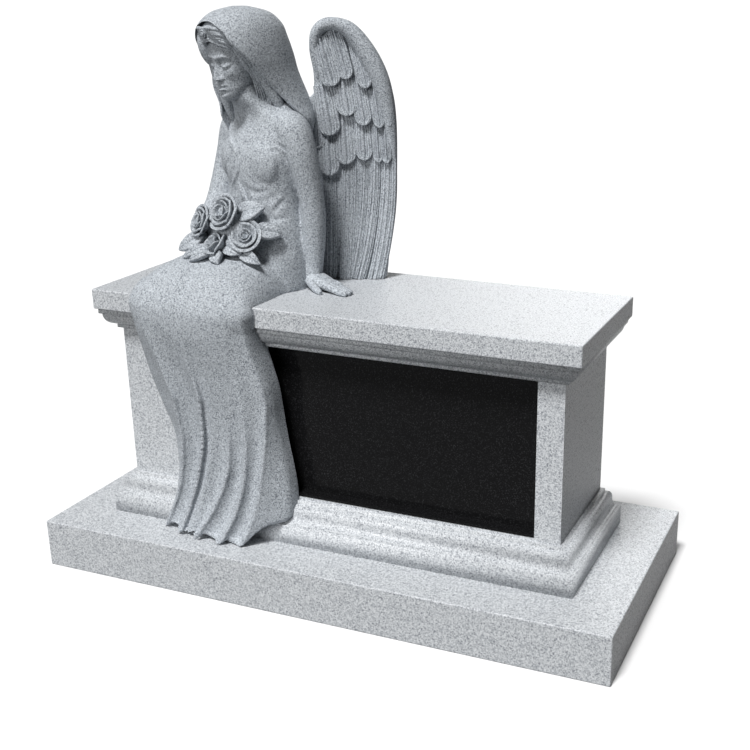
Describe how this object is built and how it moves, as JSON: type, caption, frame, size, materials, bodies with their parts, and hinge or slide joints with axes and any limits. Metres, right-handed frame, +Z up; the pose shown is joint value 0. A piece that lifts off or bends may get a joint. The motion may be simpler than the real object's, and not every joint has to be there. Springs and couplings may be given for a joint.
{
  "type": "bench headstone with a seated angel",
  "caption": "Granite bench headstone on a slab base, with a carved seated angel on its left end and a bare black granite panel in front.",
  "frame": {"origin": "middle of the underside of the base slab", "axes": "+X along the bench towards its free end, -Y out of the front with the black panel, +Z up"},
  "size_m": [1.5, 0.674, 1.3816],
  "materials": {
    "grey_granite": "steeled speckled grey granite",
    "carved_granite": "hand-carved speckled grey granite, matt",
    "black_granite": "polished black granite"
  },
  "bodies": {
    "root": {"base_slab": "grey_granite", "bench_die": "grey_granite", "seat_slab": "grey_granite", "black_panel": "black_granite", "angel": "carved_granite"}
  },
  "joints": []
}
